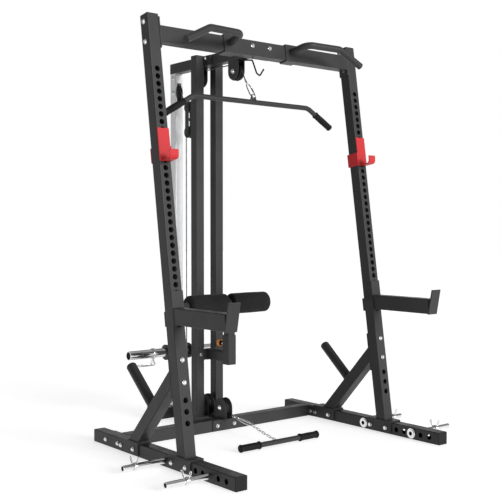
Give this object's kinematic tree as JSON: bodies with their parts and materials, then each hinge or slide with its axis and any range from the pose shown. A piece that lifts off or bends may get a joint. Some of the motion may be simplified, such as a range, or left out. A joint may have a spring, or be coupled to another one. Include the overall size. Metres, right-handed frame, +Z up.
{
  "type": "lat pulldown half rack",
  "caption": "Half rack with a plate-loaded lat pulldown and low-row tower, thigh rollers, J-cups, safety arms and pull-up handles.",
  "frame": {"origin": "on the floor, under the middle of the overall box", "axes": "+X to the machine's right, +Y to its rear, where the tower stands, +Z up"},
  "size_m": [1.728, 1.398, 1.994],
  "materials": {
    "frame_paint": "satin fine-textured powder coat, charcoal",
    "red_paint": "satin red powder coat",
    "chrome": "polished chrome plate",
    "plated": "satin chrome-plated guide tube",
    "zinc": "bright zinc plate",
    "wire": "clear-coated wire rope",
    "cap_plastic": "matte moulded plastic",
    "pulley_nylon": "matte moulded nylon",
    "grip_rubber": "matte moulded rubber",
    "foam": "matte closed-cell foam",
    "orange_plastic": "gloss moulded plastic",
    "black_wire": "gloss black coated wire"
  },
  "bodies": {
    "frame": {"base_rail_left": "frame_paint", "base_rail_right": "frame_paint", "tube_caps": "cap_plastic", "upright_left": "frame_paint", "upright_right": "frame_paint", "brace_left": "frame_paint", "brace_right": "frame_paint", "rear_crossbar": "frame_paint", "top_crossbeam": "frame_paint", "pull_up_handle_left": "frame_paint", "pull_up_handle_right": "frame_paint", "tower_columns": "frame_paint", "top_tube": "frame_paint", "guide_column": "plated", "tower_base": "frame_paint", "top_pulley_housings": "frame_paint", "low_pulley_housings": "frame_paint", "band_pegs": "chrome", "frame_bolts": "zinc", "pulley_axles": "zinc", "thigh_bracket": "frame_paint", "bar_hook": "black_wire", "cable_runs": "wire", "lat_cable_drop": "wire", "lat_block_cable": "wire", "carriage_cable": "wire", "low_block_cable": "wire", "row_cable": "wire"},
    "thigh_post": {"thigh_post": "frame_paint", "roller_axle": "frame_paint"},
    "roller_left": {"thigh_roller_left": "foam"},
    "roller_right": {"thigh_roller_right": "foam"},
    "pop_pin": {"pop_pin": "orange_plastic"},
    "carriage": {"weight_carriage": "frame_paint", "carriage_sleeves": "chrome", "carriage_bushes": "cap_plastic"},
    "block": {"floating_block": "frame_paint"},
    "lat_hook": {"lat_carabiner": "zinc"},
    "lat_bar": {"lat_bar": "frame_paint", "lat_bar_grips": "grip_rubber"},
    "row_bar": {"row_bar": "frame_paint", "row_bar_grips": "grip_rubber", "row_chain": "zinc"},
    "j_cup_left": {"j_cup_left": "red_paint"},
    "j_cup_right": {"j_cup_right": "red_paint"},
    "safety_arm_left": {"safety_arm_left": "frame_paint"},
    "safety_arm_right": {"safety_arm_right": "frame_paint"},
    "front_top_pulley": {"front_top_pulley": "pulley_nylon"},
    "rear_top_pulley": {"rear_top_pulley": "pulley_nylon"},
    "column_pulley": {"column_pulley": "pulley_nylon"},
    "block_upper_pulley": {"block_upper_pulley": "pulley_nylon"},
    "block_lower_pulley": {"block_lower_pulley": "pulley_nylon"},
    "front_low_pulley": {"front_low_pulley": "pulley_nylon"},
    "rear_low_pulley": {"rear_low_pulley": "pulley_nylon"},
    "peg_clip_rear_left": {"peg_clip_rear_left": "zinc"},
    "peg_clip_rear_right": {"peg_clip_rear_right": "zinc"},
    "peg_clip_front_left": {"peg_clip_front_left": "zinc"},
    "peg_clip_front_right": {"peg_clip_front_right": "zinc"},
    "sleeve_clip_left": {"sleeve_clip_left": "zinc"},
    "sleeve_clip_right": {"sleeve_clip_right": "zinc"}
  },
  "joints": [
    {"name": "lat_bar_pull", "type": "slide", "parent": "frame", "child": "lat_hook", "axis": [0, 0, -1], "range_m": [0, 1.1], "deforming": ["lat_cable_drop"]},
    {"name": "lat_bar_swivel", "type": "hinge", "parent": "lat_hook", "child": "lat_bar", "pos_m": [0, -0.016, 1.687], "axis": [0, 0, 1], "range_deg": [-20, 20]},
    {"name": "carriage_lift", "type": "slide", "parent": "frame", "child": "carriage", "axis": [0, 0, 1], "range_m": [0, 1.1], "deforming": ["carriage_cable"]},
    {"name": "row_bar_pull", "type": "slide", "parent": "frame", "child": "row_bar", "axis": [0, -0.9, 0.4359], "range_m": [0, 0.7]},
    {"name": "block_drop", "type": "slide", "parent": "frame", "child": "block", "axis": [0, 0, -1], "range_m": [0, 0.35], "deforming": ["lat_block_cable", "low_block_cable"]},
    {"name": "front_top_pulley_spin", "type": "hinge", "parent": "frame", "child": "front_top_pulley", "pos_m": [0, 0.119, 1.824], "axis": [1, 0, 0], "continuous": true},
    {"name": "rear_top_pulley_spin", "type": "hinge", "parent": "frame", "child": "rear_top_pulley", "pos_m": [0, 0.431, 1.824], "axis": [1, 0, 0], "continuous": true},
    {"name": "column_pulley_spin", "type": "hinge", "parent": "frame", "child": "column_pulley", "pos_m": [0, 0.649, 1.778], "axis": [1, 0, 0], "continuous": true},
    {"name": "block_upper_pulley_spin", "type": "hinge", "parent": "block", "child": "block_upper_pulley", "pos_m": [0, 0.53, 1.69], "axis": [1, 0, 0], "continuous": true},
    {"name": "block_lower_pulley_spin", "type": "hinge", "parent": "block", "child": "block_lower_pulley", "pos_m": [0, 0.53, 1.556], "axis": [1, 0, 0], "continuous": true},
    {"name": "front_low_pulley_spin", "type": "hinge", "parent": "frame", "child": "front_low_pulley", "pos_m": [0, 0.229, 0.116], "axis": [1, 0, 0], "continuous": true},
    {"name": "rear_low_pulley_spin", "type": "hinge", "parent": "frame", "child": "rear_low_pulley", "pos_m": [0, 0.38, 0.116], "axis": [1, 0, 0], "continuous": true},
    {"name": "thigh_height", "type": "slide", "parent": "frame", "child": "thigh_post", "axis": [0, 0, 1], "range_m": [-0.09, 0.05]},
    {"name": "roller_spin_left", "type": "hinge", "parent": "thigh_post", "child": "roller_left", "pos_m": [-0.1315, 0.19, 0.653], "axis": [1, 0, 0], "continuous": true},
    {"name": "roller_spin_right", "type": "hinge", "parent": "thigh_post", "child": "roller_right", "pos_m": [0.1315, 0.19, 0.653], "axis": [1, 0, 0], "continuous": true},
    {"name": "pop_pin_pull", "type": "slide", "parent": "frame", "child": "pop_pin", "axis": [0, 1, 0], "range_m": [0, 0.012], "stiffness_N_per_m": 900, "springref_m": -0.004},
    {"name": "j_cup_left_swing", "type": "hinge", "parent": "frame", "child": "j_cup_left", "pos_m": [-0.6165, -0.1511, 1.43906], "axis": [0, -0.9891, 0.1473], "range_deg": [0, 90]},
    {"name": "safety_arm_left_swing", "type": "hinge", "parent": "frame", "child": "safety_arm_left", "pos_m": [-0.6165, -0.25704, 0.72765], "axis": [0, -0.9891, 0.1473], "range_deg": [0, 90]},
    {"name": "j_cup_right_swing", "type": "hinge", "parent": "frame", "child": "j_cup_right", "pos_m": [0.6165, -0.14606, 1.47293], "axis": [0, 0.9891, -0.1473], "range_deg": [0, 90]},
    {"name": "safety_arm_right_swing", "type": "hinge", "parent": "frame", "child": "safety_arm_right", "pos_m": [0.6165, -0.25704, 0.72765], "axis": [0, 0.9891, -0.1473], "range_deg": [0, 90]},
    {"name": "peg_clip_rear_left_slide", "type": "slide", "parent": "frame", "child": "peg_clip_rear_left", "axis": [-1, 0, 0], "range_m": [-0.14, 0.08]},
    {"name": "peg_clip_front_left_slide", "type": "slide", "parent": "frame", "child": "peg_clip_front_left", "axis": [-1, 0, 0], "range_m": [-0.1, 0.12]},
    {"name": "sleeve_clip_left_slide", "type": "slide", "parent": "carriage", "child": "sleeve_clip_left", "axis": [-1, 0, 0], "range_m": [-0.07, 0.16]},
    {"name": "peg_clip_rear_right_slide", "type": "slide", "parent": "frame", "child": "peg_clip_rear_right", "axis": [1, 0, 0], "range_m": [-0.14, 0.08]},
    {"name": "peg_clip_front_right_slide", "type": "slide", "parent": "frame", "child": "peg_clip_front_right", "axis": [1, 0, 0], "range_m": [-0.1, 0.12]},
    {"name": "sleeve_clip_right_slide", "type": "slide", "parent": "carriage", "child": "sleeve_clip_right", "axis": [1, 0, 0], "range_m": [-0.07, 0.16]}
  ],
  "couplings": [
    {"joint": "carriage_lift", "follows": "lat_bar_pull", "ratio": 1},
    {"joint": "block_drop", "follows": "row_bar_pull", "ratio": 0.5},
    {"joint": "front_top_pulley_spin", "follows": "lat_bar_pull", "rad_per_m": 25},
    {"joint": "rear_top_pulley_spin", "follows": "lat_bar_pull", "rad_per_m": 25},
    {"joint": "column_pulley_spin", "follows": "lat_bar_pull", "rad_per_m": 26.316},
    {"joint": "block_upper_pulley_spin", "follows": "lat_bar_pull", "rad_per_m": -37.037},
    {"joint": "block_lower_pulley_spin", "follows": "row_bar_pull", "rad_per_m": 18.518},
    {"joint": "front_low_pulley_spin", "follows": "row_bar_pull", "rad_per_m": -23.256},
    {"joint": "rear_low_pulley_spin", "follows": "row_bar_pull", "rad_per_m": -23.256}
  ]
}
